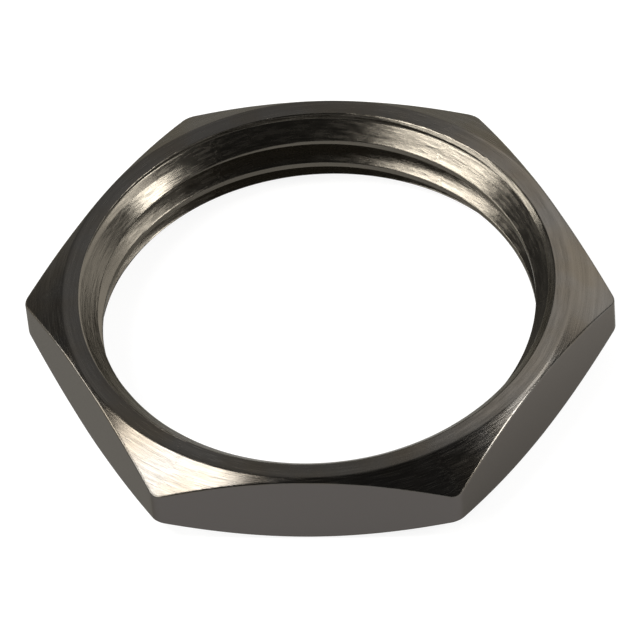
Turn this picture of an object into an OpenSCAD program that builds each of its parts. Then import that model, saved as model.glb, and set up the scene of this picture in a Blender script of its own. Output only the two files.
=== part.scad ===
// Thin hexagonal jam nut with a one-inch parallel pipe thread.
// All sizes are in mm. The lower face lies on z = 0, the thread's axis is the z axis,
// and two corners of the hexagon point along x.

/* [Body] */

// Metal between the root of the thread and the middle of each flat
rim_wall = 1.375; // [1:0.125:3]
// Thickness of the nut
nut_h = 6; // [5:0.5:12]
// Radius on the six upright edges of the bar
corner_r = 1; // [0.2:0.1:1.5]
// Slope of the corner chamfers against the faces, in degrees
chamfer_angle = 30; // [15:1:30]
// Distance from the flats to the circle where the chamfers begin
chamfer_inset = 0.2; // [0.05:0.05:0.5]

/* [Thread] */

// Major diameter, at the root of the nut's thread
thread_major_d = 33.25; // [26:0.25:36]
// Distance between two turns of the thread
pitch = 2.309; // [1.8:0.001:2.6]
// How much wider the tapping bore is than the basic minor diameter
bore_extra = 0.5; // [0:0.05:0.6]
// Turn of the whole thread about its axis, in degrees
thread_start = 295; // [0:5:355]

/* [Countersinks] */

// Countersink on the upper face, wider than the thread by this much
upper_sink_extra = 0.25; // [0.1:0.05:0.6]
// Countersink on the lower face, narrower than the thread by this much
lower_sink_short = 0.55; // [0.1:0.05:1.2]
// Slope of both countersinks against the axis, in degrees
sink_angle = 45; // [40:1:60]

/* [Colour] */

// Colour of the plated metal
metal_colour = "DimGray"; // [DimGray, Silver, Goldenrod]

/* [Hidden] */

$fn = 96;

bar_sides = 6;
flank_angle = 27.5;      // half of the 55 degree thread form
depth_per_pitch = 0.640327;
thread_segments = 72;    // flat steps in one turn of the helix
corner_segments = 8;     // flat steps round one corner of the bar
over = 1;                // how far a cutter stands out of the metal
groove_overlap = 0.2;    // how far the groove cutter reaches into the empty bore

major_r = thread_major_d / 2;
thread_depth = depth_per_pitch * pitch;
pitch_line_r = major_r - thread_depth / 2;
bore_r = major_r - thread_depth + bore_extra / 2;

flat_r = major_r + rim_wall;
side_angle = 360 / bar_sides;
corner_reach = flat_r / cos(side_angle / 2);
chamfer_r = flat_r - chamfer_inset;
chamfer_drop = (corner_reach - chamfer_r) * tan(chamfer_angle);

upper_sink_r = major_r + upper_sink_extra / 2;
lower_sink_r = major_r - lower_sink_short / 2;

// Half the height of the groove at a given radius, from the 55 degree form.
function groove_half(r) = pitch / 4 - (r - pitch_line_r) * tan(flank_angle);

// One corner of the bar: the arc's points, anticlockwise, with its middle at angle a.
function corner_arc(a) = [
    for (i = [0 : corner_segments])
        let (
            b = a + side_angle * (i / corner_segments - 1 / 2),
            arc_centre = (flat_r - corner_r) / cos(side_angle / 2)
        )
        arc_centre * [cos(a), sin(a)] + corner_r * [cos(b), sin(b)]
];

// Hexagonal bar with rounded upright edges.
module hex_bar() {
    linear_extrude(height = nut_h)
        polygon([for (k = [0 : bar_sides - 1]) each corner_arc(k * side_angle)]);
}

// The turned outside: a disc whose two rims slope away from the faces.
module turned_outside() {
    rotate_extrude()
        polygon([
            [0, 0],
            [chamfer_r, 0],
            [corner_reach, chamfer_drop],
            [corner_reach, nut_h - chamfer_drop],
            [chamfer_r, nut_h],
            [0, nut_h]
        ]);
}

// The turned inside: the tapping bore with a countersink at each end.
module turned_inside() {
    lower_sink_h = (lower_sink_r - bore_r) / tan(sink_angle);
    upper_sink_h = (upper_sink_r - bore_r) / tan(sink_angle);
    rotate_extrude()
        polygon([
            [0, -over],
            [lower_sink_r + over * tan(sink_angle), -over],
            [bore_r, lower_sink_h],
            [bore_r, nut_h - upper_sink_h],
            [upper_sink_r + over * tan(sink_angle), nut_h + over],
            [0, nut_h + over]
        ]);
}

// The thread's groove: its section is carried along a right-hand helix through the whole nut.
module thread_groove() {
    inner_r = bore_r - groove_overlap;
    section = [
        [inner_r, -groove_half(inner_r)],
        [major_r, -groove_half(major_r)],
        [major_r, groove_half(major_r)],
        [inner_r, groove_half(inner_r)]
    ];
    corners = len(section);
    steps = ceil((nut_h / pitch + 2) * thread_segments);
    points = [
        for (i = [0 : steps])
            let (turn = i / thread_segments, a = 360 * turn + thread_start)
            for (p = section)
                [p.x * cos(a), p.x * sin(a), p.y + pitch * (turn - 1)]
    ];
    // Each panel between two sections is split across the same diagonal.
    panels = [
        for (i = [0 : steps - 1], j = [0 : corners - 1])
            let (
                a = i * corners + j,
                b = i * corners + (j + 1) % corners,
                c = b + corners,
                d = a + corners
            )
            each [[a, b, c], [a, c, d]]
    ];
    last = steps * corners;
    first_cap = [for (j = [1 : corners - 2]) [0, j + 1, j]];
    last_cap = [for (j = [1 : corners - 2]) [last, last + j, last + j + 1]];
    polyhedron(points = points, faces = concat(panels, first_cap, last_cap), convexity = 12);
}

module jam_nut() {
    color(metal_colour)
        difference() {
            intersection() {
                hex_bar();
                turned_outside();
            }
            turned_inside();
            thread_groove();
        }
}

jam_nut();
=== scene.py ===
# A thin hexagonal jam nut, turned from brass and plated in dark nickel, on a pale studio floor.
# Lengths are in metres, as in the frame; the nut lies on z = 0 with its thread's axis on z.
import math

import bpy
from mathutils import Matrix, Vector


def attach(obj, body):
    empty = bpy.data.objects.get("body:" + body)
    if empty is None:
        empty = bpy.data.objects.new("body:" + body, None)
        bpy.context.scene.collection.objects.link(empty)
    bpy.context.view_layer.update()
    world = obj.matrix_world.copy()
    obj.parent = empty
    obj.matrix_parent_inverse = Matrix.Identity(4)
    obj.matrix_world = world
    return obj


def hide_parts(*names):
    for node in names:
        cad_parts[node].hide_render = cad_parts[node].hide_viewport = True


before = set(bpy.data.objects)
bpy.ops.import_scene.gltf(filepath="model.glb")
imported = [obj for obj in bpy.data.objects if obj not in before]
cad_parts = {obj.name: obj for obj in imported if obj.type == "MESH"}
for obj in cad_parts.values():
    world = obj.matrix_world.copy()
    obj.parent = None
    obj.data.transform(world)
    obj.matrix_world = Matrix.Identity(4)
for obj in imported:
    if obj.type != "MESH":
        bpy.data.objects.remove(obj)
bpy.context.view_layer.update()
mm = 0.001


# Camera: a long lens, set where the photograph was taken from.
cameraPlace = {
    "lookAt": (0, 0, 3 * mm),
    "height": 47.54,      # degrees above the floor
    "turn": 6.81,         # degrees round the nut, from the front flat towards the right
    "tilt": -5.31,        # degrees that the picture leans
    "distance": 450 * mm,
    "lens": 361.9,
    "slide": (0.0024 * mm, -0.3706 * mm),  # right and up in the picture
}


def placeCamera(place):
    height, turn, tilt = (math.radians(place[k]) for k in ("height", "turn", "tilt"))
    level = math.cos(height)
    back = Vector((math.sin(turn) * level, -math.cos(turn) * level, math.sin(height)))
    right = Vector((math.cos(turn), math.sin(turn), 0))
    up = back.cross(right)
    leanRight = right * math.cos(tilt) + up * math.sin(tilt)
    leanUp = up * math.cos(tilt) - right * math.sin(tilt)
    camera = bpy.data.objects.new("photoCamera", bpy.data.cameras.new("photoCamera"))
    bpy.context.scene.collection.objects.link(camera)
    camera.data.lens = place["lens"]
    camera.data.sensor_width = 36
    camera.data.clip_start = 10 * mm
    spot = Vector(place["lookAt"]) + back * place["distance"]
    spot += leanRight * place["slide"][0] + leanUp * place["slide"][1]
    turned = Matrix((leanRight, leanUp, back)).transposed().to_4x4()
    camera.matrix_world = Matrix.Translation(spot) @ turned
    bpy.context.scene.camera = camera


placeCamera(cameraPlace)
print("camera placed")


# Nut: one closed skin, drawn by two grids. The wall grid follows the thread's helix.
nutSizes = {
    "Height": 6 * mm,
    "Flat Radius": 18 * mm,
    "Corner Radius": 1.0 * mm,
    "Chamfer Radius": 17.8 * mm,
    "Chamfer Slope": 30.0,          # degrees against the faces
    "Major Radius": 16.625 * mm,
    "Pitch": 2.309 * mm,
    "Thread Depth": 1.4785 * mm,    # of the full form
    "Bore Radius": 15.2 * mm,
    "Flank Angle": 27.5,            # degrees against a square cut
    "Thread Start": 295.0,          # degrees
    "Upper Sink Radius": 16.6 * mm,
    "Lower Sink Radius": 16.35 * mm,
    "Broken Edge": 0.12 * mm,
    "Rim Edge": 0.04 * mm,          # at the mouth of each countersink
    "Crest Softness": 0.10 * mm,
    "Throw X": -0.06 * mm,          # how far the turned parts stand off the hexagon's middle
    "Throw Y": 0.12 * mm,
}
nutGrid = {
    "sectors": 6,                   # one for each corner of the hexagon
    "columnsInSector": 60,
    "columnsInCorner": 10,          # of those, the ones that the rounded corner takes
    "rowsInPitch": 56,
    "turns": 5,                     # of the thread's ribbon, before the faces cut it off
    "mergeDistance": 0.003 * mm,
}
sectorAngle = 360 / nutGrid["sectors"]
halfSector = math.radians(sectorAngle / 2)


def plug(tree, socket, value):
    if isinstance(value, bpy.types.NodeSocket):
        tree.links.new(value, socket)
    else:
        socket.default_value = value


def calc(tree, operation, *values):
    node = tree.nodes.new("ShaderNodeMath")
    node.operation = operation
    for socket, value in zip(node.inputs, values):
        plug(tree, socket, value)
    return node.outputs[0]


def joinXyz(tree, x=0.0, y=0.0, z=0.0):
    node = tree.nodes.new("ShaderNodeCombineXYZ")
    for socket, value in zip(node.inputs, (x, y, z)):
        plug(tree, socket, value)
    return node.outputs[0]


def splitXyz(tree, vector):
    node = tree.nodes.new("ShaderNodeSeparateXYZ")
    plug(tree, node.inputs[0], vector)
    return node.outputs


def vectorCalc(tree, operation, a, b=None, scale=None):
    node = tree.nodes.new("ShaderNodeVectorMath")
    node.operation = operation
    plug(tree, node.inputs[0], a)
    if b is not None:
        plug(tree, node.inputs[1], b)
    if scale is not None:
        plug(tree, node.inputs["Scale"], scale)
    return node.outputs["Value" if operation == "DISTANCE" else "Vector"]


def makeTree(name, inputs, outputs):
    tree = bpy.data.node_groups.new(name, "GeometryNodeTree")
    for socketName, kind, value in inputs:
        socket = tree.interface.new_socket(socketName, in_out="INPUT", socket_type=kind)
        if value is not None:
            socket.default_value = value
    for socketName, kind in outputs:
        tree.interface.new_socket(socketName, in_out="OUTPUT", socket_type=kind)
    return tree, tree.nodes.new("NodeGroupInput").outputs, tree.nodes.new("NodeGroupOutput").inputs


def callTree(tree, group, values):
    node = tree.nodes.new("GeometryNodeGroup")
    node.node_tree = group
    for name, value in values.items():
        plug(tree, node.inputs[name], value)
    return node.outputs


def sizeInputs():
    return [(name, "NodeSocketFloat", value) for name, value in nutSizes.items()]


def sizesFrom(sockets):
    return {name: sockets[name] for name in nutSizes}


# What a turned circle's radius gains at an angle in degrees, because its middle is off the hexagon's.
def throwAt(tree, angle, given):
    turned = calc(tree, "RADIANS", angle)
    alongX = calc(tree, "MULTIPLY", calc(tree, "COSINE", turned), given["Throw X"])
    alongY = calc(tree, "MULTIPLY", calc(tree, "SINE", turned), given["Throw Y"])
    return calc(tree, "ADD", alongX, alongY)


# Radius of the inside at an angle in degrees and a height: bore, countersinks and thread together.
def makeWallTree():
    tree, given, result = makeTree(
        "nut wall radius",
        [("Angle", "NodeSocketFloat", 0.0), ("Level", "NodeSocketFloat", 0.0)] + sizeInputs(),
        [("Radius", "NodeSocketFloat")],
    )
    angle, level, pitch = given["Angle"], given["Level"], given["Pitch"]
    height, edge, soft = given["Height"], given["Rim Edge"], given["Crest Softness"]
    turns = calc(tree, "DIVIDE", calc(tree, "SUBTRACT", angle, given["Thread Start"]), 360)
    phase = calc(tree, "SUBTRACT", calc(tree, "DIVIDE", level, pitch), turns)
    # Distance from the middle of the groove, never more than half a pitch.
    beside = calc(tree, "ABSOLUTE", calc(tree, "SUBTRACT", phase, calc(tree, "ROUND", phase)))
    beside = calc(tree, "MULTIPLY", beside, pitch)
    halfDepth = calc(tree, "MULTIPLY", given["Thread Depth"], 0.5)
    pitchLine = calc(tree, "SUBTRACT", given["Major Radius"], halfDepth)
    rise = calc(tree, "SUBTRACT", calc(tree, "MULTIPLY", pitch, 0.25), beside)
    slope = calc(tree, "TANGENT", calc(tree, "RADIANS", given["Flank Angle"]))
    flank = calc(tree, "ADD", pitchLine, calc(tree, "DIVIDE", rise, slope))
    groove = calc(tree, "SMOOTH_MIN", flank, given["Major Radius"], soft)
    thread = calc(tree, "SMOOTH_MAX", groove, given["Bore Radius"], soft)
    down = calc(tree, "SUBTRACT", height, level)
    upperSink = calc(tree, "SUBTRACT", given["Upper Sink Radius"], down)
    lowerSink = calc(tree, "SUBTRACT", given["Lower Sink Radius"], level)
    hollow = calc(tree, "MAXIMUM", calc(tree, "MAXIMUM", thread, upperSink), lowerSink)
    upperBreak = calc(tree, "MAXIMUM", calc(tree, "SUBTRACT", edge, down), 0)
    lowerBreak = calc(tree, "MAXIMUM", calc(tree, "SUBTRACT", edge, level), 0)
    broken = calc(tree, "ADD", hollow, calc(tree, "ADD", upperBreak, lowerBreak))
    plug(tree, result["Radius"], calc(tree, "ADD", broken, throwAt(tree, angle, given)))
    return tree


# How far a rounded corner's centre lies from the hexagon's middle, and half the width of its arc.
def cornerArc(tree, given):
    inner = calc(tree, "SUBTRACT", given["Flat Radius"], given["Corner Radius"])
    centre = calc(tree, "DIVIDE", inner, math.cos(halfSector))
    return centre, calc(tree, "MULTIPLY", given["Corner Radius"], math.sin(halfSector))


# Radius of the hexagon's outline at an angle in degrees, with its rounded corners.
def makeOutlineTree():
    tree, given, result = makeTree(
        "nut outline radius",
        [("Angle", "NodeSocketFloat", 0.0)] + sizeInputs(),
        [("Radius", "NodeSocketFloat")],
    )
    sector = calc(tree, "DIVIDE", given["Angle"], sectorAngle)
    fromCorner = calc(tree, "ABSOLUTE", calc(tree, "SUBTRACT", sector, calc(tree, "ROUND", sector)))
    fromCorner = calc(tree, "RADIANS", calc(tree, "MULTIPLY", fromCorner, sectorAngle))
    toFlat = calc(tree, "COSINE", calc(tree, "SUBTRACT", halfSector, fromCorner))
    flat = calc(tree, "DIVIDE", given["Flat Radius"], toFlat)
    centre, half = cornerArc(tree, given)
    across = calc(tree, "MULTIPLY", centre, calc(tree, "SINE", fromCorner))
    radiusSquared = calc(tree, "POWER", given["Corner Radius"], 2)
    reachSquared = calc(tree, "SUBTRACT", radiusSquared, calc(tree, "POWER", across, 2))
    reach = calc(tree, "SQRT", calc(tree, "MAXIMUM", reachSquared, 0))
    arc = calc(tree, "ADD", calc(tree, "MULTIPLY", centre, calc(tree, "COSINE", fromCorner)), reach)
    inArc = calc(tree, "LESS_THAN", across, half)
    arcPart = calc(tree, "MULTIPLY", arc, inArc)
    flatPart = calc(tree, "MULTIPLY", flat, calc(tree, "SUBTRACT", 1, inArc))
    plug(tree, result["Radius"], calc(tree, "ADD", arcPart, flatPart))
    return tree


# Angle in degrees of a column: the columns crowd together at the six corners.
def makeColumnTree():
    tree, given, result = makeTree(
        "nut column angle",
        [("Column", "NodeSocketFloat", 0.0)] + sizeInputs(),
        [("Angle", "NodeSocketFloat")],
    )
    sector = calc(tree, "DIVIDE", given["Column"], nutGrid["columnsInSector"])
    nearest = calc(tree, "ROUND", sector)
    offset = calc(tree, "SUBTRACT", sector, nearest)
    share = calc(tree, "MULTIPLY", calc(tree, "ABSOLUTE", offset), 2)
    cornerShare = nutGrid["columnsInCorner"] / nutGrid["columnsInSector"]
    centre, half = cornerArc(tree, given)
    reach = calc(tree, "MULTIPLY", given["Corner Radius"], math.cos(halfSector))
    forward = calc(tree, "ADD", centre, reach)
    cornerAngle = calc(tree, "DEGREES", calc(tree, "ARCTAN2", half, forward))
    cornerPart = calc(tree, "MINIMUM", calc(tree, "DIVIDE", share, cornerShare), 1)
    inCorner = calc(tree, "MULTIPLY", cornerPart, cornerAngle)
    past = calc(tree, "MAXIMUM", calc(tree, "SUBTRACT", share, cornerShare), 0)
    flatAngle = calc(tree, "SUBTRACT", sectorAngle / 2, cornerAngle)
    rest = calc(tree, "DIVIDE", calc(tree, "MULTIPLY", past, flatAngle), 1 - cornerShare)
    swing = calc(tree, "MULTIPLY", calc(tree, "ADD", inCorner, rest), calc(tree, "SIGN", offset))
    plug(tree, result["Angle"], calc(tree, "ADD", calc(tree, "MULTIPLY", nearest, sectorAngle), swing))
    return tree


def makeNutTree(wallTree, outlineTree, columnTree):
    tree, given, result = makeTree(
        "jam nut",
        sizeInputs() + [("Finish", "NodeSocketMaterial", None)],
        [("Nut", "NodeSocketGeometry")],
    )
    sizes = sizesFrom(given)
    inRound = nutGrid["sectors"] * nutGrid["columnsInSector"]

    def gridOf(columns, rows):
        grid = tree.nodes.new("GeometryNodeMeshGrid")
        for way, count in (("X", columns), ("Y", rows)):
            grid.inputs["Size " + way].default_value = count
            grid.inputs["Vertices " + way].default_value = count + 1
        x, y, _ = splitXyz(tree, tree.nodes.new("GeometryNodeInputPosition").outputs[0])
        return grid.outputs["Mesh"], calc(tree, "ADD", x, columns / 2), calc(tree, "ADD", y, rows / 2)

    def wallAt(angle, level):
        return callTree(tree, wallTree, {"Angle": angle, "Level": level, **sizes})["Radius"]

    def keepField(mesh, name, kind, domain, value):
        node = tree.nodes.new("GeometryNodeStoreNamedAttribute")
        node.data_type = kind
        node.domain = domain
        node.inputs["Name"].default_value = name
        plug(tree, node.inputs["Geometry"], mesh)
        plug(tree, node.inputs["Value"], value)
        return node.outputs[0]

    def swept(mesh, angle, radius, level):
        turned = calc(tree, "RADIANS", angle)
        x = calc(tree, "MULTIPLY", radius, calc(tree, "COSINE", turned))
        y = calc(tree, "MULTIPLY", radius, calc(tree, "SINE", turned))
        node = tree.nodes.new("GeometryNodeSetPosition")
        plug(tree, node.inputs["Geometry"], mesh)
        plug(tree, node.inputs["Position"], joinXyz(tree, x, y, level))
        return node.outputs[0]

    # Outside: the section's corners at each angle, every one with its edge broken.
    height, edge = given["Height"], given["Broken Edge"]
    sectionCorners = 6
    bends = (0.0, 0.25, 0.5, 0.75, 1.0)  # shares of the way round a broken edge
    wide = 1.6                           # last station beside a broken edge, in edge widths
    room = 0.3                           # most that an edge takes of a side, so that no two meet
    stations = len(bends) + 2
    mesh, column, row = gridOf(inRound, sectionCorners * stations - 1)
    angle = callTree(tree, columnTree, {"Column": column, **sizes})["Angle"]
    outline = callTree(tree, outlineTree, {"Angle": angle, **sizes})["Radius"]
    slope = calc(tree, "TANGENT", calc(tree, "RADIANS", given["Chamfer Slope"]))
    chamfer = calc(tree, "ADD", given["Chamfer Radius"], throwAt(tree, angle, given))
    drop = calc(tree, "MULTIPLY", calc(tree, "SUBTRACT", outline, chamfer), slope)
    corners = [
        joinXyz(tree, wallAt(angle, height), 0, height),
        joinXyz(tree, chamfer, 0, height),
        joinXyz(tree, outline, 0, calc(tree, "SUBTRACT", height, drop)),
        joinXyz(tree, outline, 0, drop),
        joinXyz(tree, chamfer, 0, 0),
        joinXyz(tree, wallAt(angle, 0.0), 0, 0),
    ]
    places = []
    for i, corner in enumerate(corners):
        before = corners[max(i - 1, 0)]
        after = corners[min(i + 1, sectionCorners - 1)]
        back = vectorCalc(tree, "NORMALIZE", vectorCalc(tree, "SUBTRACT", before, corner))
        on = vectorCalc(tree, "NORMALIZE", vectorCalc(tree, "SUBTRACT", after, corner))
        others = [other for other in (before, after) if other is not corner]
        sides = [vectorCalc(tree, "DISTANCE", corner, other) for other in others]
        shortest = calc(tree, "MINIMUM", sides[0], sides[-1])
        fitted = calc(tree, "MINIMUM", edge, calc(tree, "MULTIPLY", shortest, room))
        pairs = [(wide, 0)] + [((1 - bend) ** 2, bend ** 2) for bend in bends] + [(0, wide)]
        for backShare, onShare in pairs:
            backPart = vectorCalc(tree, "SCALE", back, scale=calc(tree, "MULTIPLY", fitted, backShare))
            onPart = vectorCalc(tree, "SCALE", on, scale=calc(tree, "MULTIPLY", fitted, onShare))
            places.append(vectorCalc(tree, "ADD", corner, vectorCalc(tree, "ADD", backPart, onPart)))
    pick = tree.nodes.new("GeometryNodeIndexSwitch")
    pick.data_type = "VECTOR"
    while len(pick.index_switch_items) < len(places):
        pick.index_switch_items.new()
    whole = tree.nodes.new("FunctionNodeFloatToInt")
    plug(tree, whole.inputs[0], row)
    plug(tree, pick.inputs["Index"], whole.outputs[0])
    for i, place in enumerate(places):
        plug(tree, pick.inputs[i + 1], place)
    radius, _, level = splitXyz(tree, pick.outputs[0])
    # The drawn sides lie between the third corner's last stations and the fourth's first ones.
    middleRow = 3 * stations
    pastUpper = calc(tree, "GREATER_THAN", row, middleRow - 3)
    beforeLower = calc(tree, "LESS_THAN", row, middleRow + 2)
    onFlat = calc(tree, "MULTIPLY", pastUpper, beforeLower)
    mesh = keepField(mesh, "drawnFlat", "FLOAT", "POINT", onFlat)
    mesh = keepField(mesh, "inBore", "FLOAT", "POINT", 0.0)
    run = calc(tree, "DIVIDE", calc(tree, "SUBTRACT", radius, level), mm)
    aroundTurn = calc(tree, "DIVIDE", column, inRound)
    mesh = keepField(mesh, "turning", "FLOAT2", "CORNER", joinXyz(tree, run, aroundTurn))
    outside = swept(mesh, angle, radius, level)

    # Inside: a ribbon one pitch wide, wound up the helix and cut off at both faces.
    rows = nutGrid["rowsInPitch"]
    mesh, column, row = gridOf(nutGrid["turns"] * inRound, rows)
    started = calc(tree, "SUBTRACT", column, inRound)  # one turn early, below the lower face
    angle = callTree(tree, columnTree, {"Column": started, **sizes})["Angle"]
    across = calc(tree, "DIVIDE", row, rows)
    climbed = calc(tree, "DIVIDE", calc(tree, "SUBTRACT", angle, given["Thread Start"]), 360)
    level = calc(tree, "MULTIPLY", calc(tree, "ADD", climbed, across), given["Pitch"])
    level = calc(tree, "MINIMUM", calc(tree, "MAXIMUM", level, 0), height)
    mesh = keepField(mesh, "drawnFlat", "FLOAT", "POINT", 0.0)
    mesh = keepField(mesh, "inBore", "FLOAT", "POINT", 1.0)
    aroundTurn = calc(tree, "DIVIDE", column, inRound)
    run = calc(tree, "MULTIPLY", across, calc(tree, "DIVIDE", given["Pitch"], mm))
    mesh = keepField(mesh, "turning", "FLOAT2", "CORNER", joinXyz(tree, run, aroundTurn))
    inside = swept(mesh, angle, wallAt(angle, level), level)

    join = tree.nodes.new("GeometryNodeJoinGeometry")
    tree.links.new(outside, join.inputs[0])
    tree.links.new(inside, join.inputs[0])
    merge = tree.nodes.new("GeometryNodeMergeByDistance")
    plug(tree, merge.inputs["Geometry"], join.outputs[0])
    merge.inputs["Distance"].default_value = nutGrid["mergeDistance"]
    flip = tree.nodes.new("GeometryNodeFlipFaces")  # the grids' own faces point inwards
    plug(tree, flip.inputs[0], merge.outputs[0])
    smooth = tree.nodes.new("GeometryNodeSetShadeSmooth")
    plug(tree, smooth.inputs["Geometry"], flip.outputs[0])
    dress = tree.nodes.new("GeometryNodeSetMaterial")
    plug(tree, dress.inputs["Geometry"], smooth.outputs[0])
    plug(tree, dress.inputs["Material"], given["Finish"])
    plug(tree, result["Nut"], dress.outputs[0])
    return tree


# Plated metal: dark nickel over brass, with the fine rings that the turning tool left under it.
platedMetal = {
    "baseColour": (0.102, 0.096, 0.088, 1),
    "warmColour": (0.098, 0.086, 0.070, 1),  # in patches, where the plating is thin
    "boreColour": (0.100, 0.091, 0.076, 1),
    "flatColour": (0.105, 0.097, 0.092, 1),  # the bar's drawn sides
    "edgeTint": (0.52, 0.51, 0.48, 1),
    "patchesPerMetre": 260,
    "patchDetail": 3.0,
    "patchRange": (0.38, 0.68),   # of the noise, from bare of patches to full
    "markRange": (-0.2, 0.2),     # of a mark's height, mostly within these
    "ringShade": (0.86, 1.12),    # the colour's brightness in and beside a ring
    "roughness": (0.15, 0.30),
    "boreDulling": 0.025,         # how much rougher the metal is in the bore
    "acrossRings": 0.60,          # how much wider a highlight spreads across the rings
}
# Two kinds of turning mark. Wander is how fast one changes on its way round the nut, and
# boreGain is how much deeper it is in the bore.
wideRings = {"perMillimetre": 3.2, "wander": 1.5, "detail": 2.0, "depth": 0.003 * mm, "boreGain": 9.0}
fineRings = {"perMillimetre": 11.0, "wander": 14.0, "detail": 3.0, "depth": 0.004 * mm, "boreGain": 3.0}


def noiseOf(tree, vector, scale, detail=2.0, roughness=0.5):
    node = tree.nodes.new("ShaderNodeTexNoise")
    plug(tree, node.inputs["Vector"], vector)
    node.inputs["Scale"].default_value = scale
    node.inputs["Detail"].default_value = detail
    node.inputs["Roughness"].default_value = roughness
    return node.outputs["Fac"]


def remap(tree, value, fromRange, toRange):
    node = tree.nodes.new("ShaderNodeMapRange")
    plug(tree, node.inputs["Value"], value)
    for side, (low, high) in (("From", fromRange), ("To", toRange)):
        node.inputs[side + " Min"].default_value = low
        node.inputs[side + " Max"].default_value = high
    return node.outputs[0]


def blendColours(tree, share, first, second):
    node = tree.nodes.new("ShaderNodeMix")
    node.data_type = "RGBA"
    plug(tree, node.inputs[0], share)
    plug(tree, node.inputs[6], first)
    plug(tree, node.inputs[7], second)
    return node.outputs[2]


def bumpOf(tree, height, distance, below=None):
    node = tree.nodes.new("ShaderNodeBump")
    plug(tree, node.inputs["Height"], height)
    node.inputs["Distance"].default_value = distance
    if below is not None:
        plug(tree, node.inputs["Normal"], below)
    return node.outputs[0]


# Turning marks: noise that is drawn out round the axis. The attribute holds the way along the
# section in millimetres and the share of a turn.
def ringsOf(tree, run, around, kind):
    turned = calc(tree, "MULTIPLY", around, 2 * math.pi)
    x = calc(tree, "MULTIPLY", run, kind["perMillimetre"])
    y = calc(tree, "MULTIPLY", calc(tree, "COSINE", turned), kind["wander"])
    z = calc(tree, "MULTIPLY", calc(tree, "SINE", turned), kind["wander"])
    noise = noiseOf(tree, joinXyz(tree, x, y, z), 1.0, kind["detail"])
    return calc(tree, "SUBTRACT", noise, 0.5)  # heights then lie on both sides of 0


def makePlatedMetal(look):
    material = bpy.data.materials.new("darkNickelPlate")
    material.use_nodes = True
    tree = material.node_tree
    shader = tree.nodes["Principled BSDF"]
    shader.inputs["Metallic"].default_value = 1
    shader.inputs["Anisotropic"].default_value = look["acrossRings"]
    shader.inputs["Specular Tint"].default_value = look["edgeTint"]

    def attributeOf(name):
        node = tree.nodes.new("ShaderNodeAttribute")
        node.attribute_name = name
        return node.outputs

    run, around, _ = splitXyz(tree, attributeOf("turning")["Vector"])
    drawnFlat = attributeOf("drawnFlat")["Fac"]
    inBore = attributeOf("inBore")["Fac"]
    turnedShare = calc(tree, "SUBTRACT", 1, drawnFlat)
    wide = calc(tree, "MULTIPLY", ringsOf(tree, run, around, wideRings), turnedShare)
    fine = calc(tree, "MULTIPLY", ringsOf(tree, run, around, fineRings), turnedShare)

    place = tree.nodes.new("ShaderNodeTexCoord").outputs["Object"]
    patches = noiseOf(tree, place, look["patchesPerMetre"], look["patchDetail"])
    warmth = remap(tree, patches, look["patchRange"], (0, 1))
    colour = blendColours(tree, warmth, look["baseColour"], look["warmColour"])
    colour = blendColours(tree, inBore, colour, look["boreColour"])
    colour = blendColours(tree, drawnFlat, colour, look["flatColour"])
    shade = remap(tree, wide, look["markRange"], look["ringShade"])
    plug(tree, shader.inputs["Base Color"], vectorCalc(tree, "SCALE", colour, scale=shade))

    rough = remap(tree, fine, look["markRange"], look["roughness"])
    dulling = calc(tree, "MULTIPLY", inBore, look["boreDulling"])
    plug(tree, shader.inputs["Roughness"], calc(tree, "ADD", rough, dulling))
    relief = None
    for marks, kind in ((wide, wideRings), (fine, fineRings)):
        deeper = calc(tree, "ADD", calc(tree, "MULTIPLY", inBore, kind["boreGain"]), 1)
        relief = bumpOf(tree, calc(tree, "MULTIPLY", marks, deeper), kind["depth"], relief)
    plug(tree, shader.inputs["Normal"], relief)
    tangent = tree.nodes.new("ShaderNodeTangent")
    tangent.direction_type = "UV_MAP"
    tangent.uv_map = "turning"
    tree.links.new(tangent.outputs[0], shader.inputs["Tangent"])
    return material


def bakeTree(name, tree, values):
    shell = bpy.data.objects.new(name + ".seed", bpy.data.meshes.new(name + ".seed"))
    bpy.context.scene.collection.objects.link(shell)
    modifier = shell.modifiers.new("nodes", "NODES")
    modifier.node_group = tree
    for item in tree.interface.items_tree:
        if item.item_type == "SOCKET" and item.in_out == "INPUT" and item.name in values:
            modifier[item.identifier] = values[item.name]
    graph = bpy.context.evaluated_depsgraph_get()
    mesh = bpy.data.meshes.new_from_object(shell.evaluated_get(graph), depsgraph=graph)
    mesh.name = name
    piece = bpy.data.objects.new(name, mesh)
    bpy.context.scene.collection.objects.link(piece)
    bpy.data.objects.remove(shell)
    return piece


plate = makePlatedMetal(platedMetal)
nutTree = makeNutTree(makeWallTree(), makeOutlineTree(), makeColumnTree())
nutBody = bakeTree("jamNutBody", nutTree, {**nutSizes, "Finish": plate})
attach(nutBody, "root")
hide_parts("jam_nut")
print("nut made:", len(nutBody.data.polygons), "faces")


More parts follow.
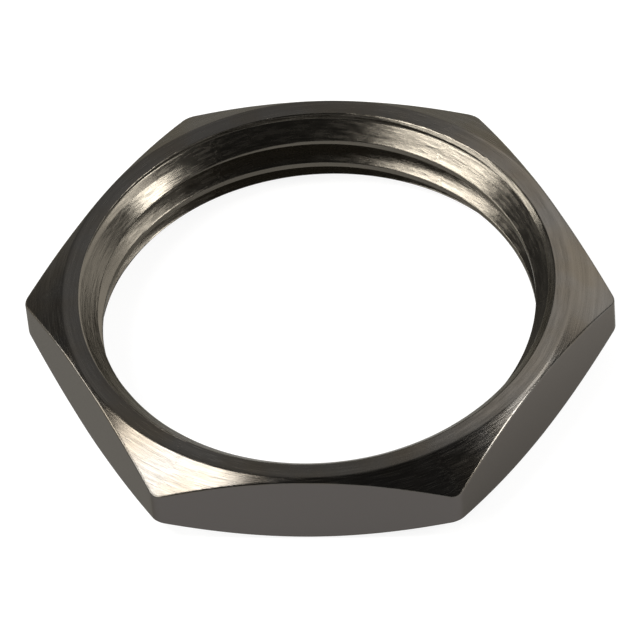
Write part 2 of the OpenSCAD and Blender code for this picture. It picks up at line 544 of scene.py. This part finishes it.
# Studio: a white floor, white low walls under a dark ceiling, four soft lamps and a pale card.
# A lamp stands where a face of the nut mirrors it towards the camera.
studio = {
    "floorSize": 3.0,
    "floorLevel": -0.02 * mm,           # just clear of the nut's lower face
    "floorPaint": (0.20, 0.20, 0.20, 1),
    "floorGlow": 0.86,                  # for the camera, so that the floor is white there
    "floorMirror": 0.66,                # for reflections
    "paintedLightRight": 0.46,           # painted light: added in reflections on the right, to lift the nut's shadow there
    "paintedLightSpan": (12 * mm, 26 * mm),  # distance along x over which that painted light comes in
    "wallGlow": 0.80,
    "wallTop": (0.06, 0.32),            # height in the world over which the walls end
    "ceilingGlow": 0.05,
    "backGlow": 0.55,
    "backFade": (0.15, 0.75),           # way to the back over which it comes in
    "backFadeLeft": (-0.6, 0.0),        # way from the left over which it is whole
    "backLeft": 0.3,                    # share of it that is left there
}
softLamps = {
    # place, width, height, degrees that it leans, brightness, colour
    "lampAbove": ((-0.251, -0.054, 0.418), 0.26, 0.13, 30, 19.0, (1.0, 0.98, 0.95)),
    "lampLeft": ((-0.449, -0.110, 0.209), 0.68, 0.16, 22, 9.8, (1.0, 0.99, 0.96)),
    "lampRight": ((0.42, -0.036, 0.26), 0.11, 0.22, 0, 19.0, (1.0, 0.99, 0.97)),
    "lampRightHigh": ((0.300, 0.135, 0.378), 0.11, 0.12, 0, 6.0, (1.0, 0.99, 0.97)),
    "cardBehind": ((0.0445, 0.0612, 0.0550), 0.080, 0.088, 0, 1.35, (1.0, 0.97, 0.93)),
}


def makeFloor(sizes):
    half, level = sizes["floorSize"] / 2, sizes["floorLevel"]
    mesh = bpy.data.meshes.new("studioFloor")
    corners = [(-half, -half, level), (half, -half, level), (half, half, level), (-half, half, level)]
    mesh.from_pydata(corners, [], [(0, 1, 2, 3)])
    floor = bpy.data.objects.new("studioFloor", mesh)
    bpy.context.scene.collection.objects.link(floor)
    material = bpy.data.materials.new("whiteFloor")
    material.use_nodes = True
    tree = material.node_tree
    tree.nodes.clear()
    paint = tree.nodes.new("ShaderNodeBsdfDiffuse")
    paint.inputs["Color"].default_value = sizes["floorPaint"]
    glow = tree.nodes.new("ShaderNodeEmission")
    glow.inputs["Color"].default_value = (1, 1, 1, 1)
    path = tree.nodes.new("ShaderNodeLightPath")
    mirrored = calc(tree, "MAXIMUM", path.outputs["Is Glossy Ray"], path.outputs["Is Transmission Ray"])
    # Painted light: in reflections the floor grows brighter towards the right, lifting the nut's shadow
    # there.
    across, _, _ = splitXyz(tree, tree.nodes.new("ShaderNodeTexCoord").outputs["Object"])
    least = sizes["floorMirror"]
    gain = remap(tree, across, sizes["paintedLightSpan"], (least, least + sizes["paintedLightRight"]))
    mirrored = calc(tree, "MULTIPLY", mirrored, gain)
    seen = calc(tree, "MULTIPLY", path.outputs["Is Camera Ray"], sizes["floorGlow"])
    plug(tree, glow.inputs["Strength"], calc(tree, "MAXIMUM", seen, mirrored))
    both = tree.nodes.new("ShaderNodeAddShader")
    tree.links.new(paint.outputs[0], both.inputs[0])
    tree.links.new(glow.outputs[0], both.inputs[1])
    output = tree.nodes.new("ShaderNodeOutputMaterial")
    tree.links.new(both.outputs[0], output.inputs["Surface"])
    mesh.materials.append(material)


def makeWorld(sizes):
    world = bpy.data.worlds.new("studioWorld")
    bpy.context.scene.world = world
    world.use_nodes = True
    tree = world.node_tree
    background = tree.nodes["Background"]
    background.inputs["Color"].default_value = (1, 1, 1, 1)
    x, y, z = splitXyz(tree, tree.nodes.new("ShaderNodeTexCoord").outputs["Generated"])
    wall = remap(tree, z, sizes["wallTop"], (sizes["wallGlow"], 0))
    back = remap(tree, y, sizes["backFade"], (0, sizes["backGlow"]))
    right = remap(tree, x, sizes["backFadeLeft"], (sizes["backLeft"], 1))
    above = calc(tree, "ADD", calc(tree, "MULTIPLY", back, right), sizes["ceilingGlow"])
    plug(tree, background.inputs["Strength"], calc(tree, "MAXIMUM", wall, above))


def makeLamp(name, place, width, height, lean, brightness, colour):
    lamp = bpy.data.lights.new(name, "AREA")
    lamp.shape = "RECTANGLE"
    lamp.size = width
    lamp.size_y = height
    lamp.energy = brightness * math.pi * width * height
    lamp.color = colour
    holder = bpy.data.objects.new(name, lamp)
    bpy.context.scene.collection.objects.link(holder)
    holder.location = place
    facing = Vector(place).to_track_quat("Z", "Y").to_matrix()
    leaning = Matrix.Rotation(math.radians(lean), 3, "Z")
    holder.rotation_euler = (facing @ leaning).to_euler()
    holder.visible_camera = False


makeFloor(studio)
makeWorld(studio)
for name, settings in softLamps.items():
    makeLamp(name, *settings)
bpy.context.scene.view_settings.view_transform = "Standard"
print("studio set")
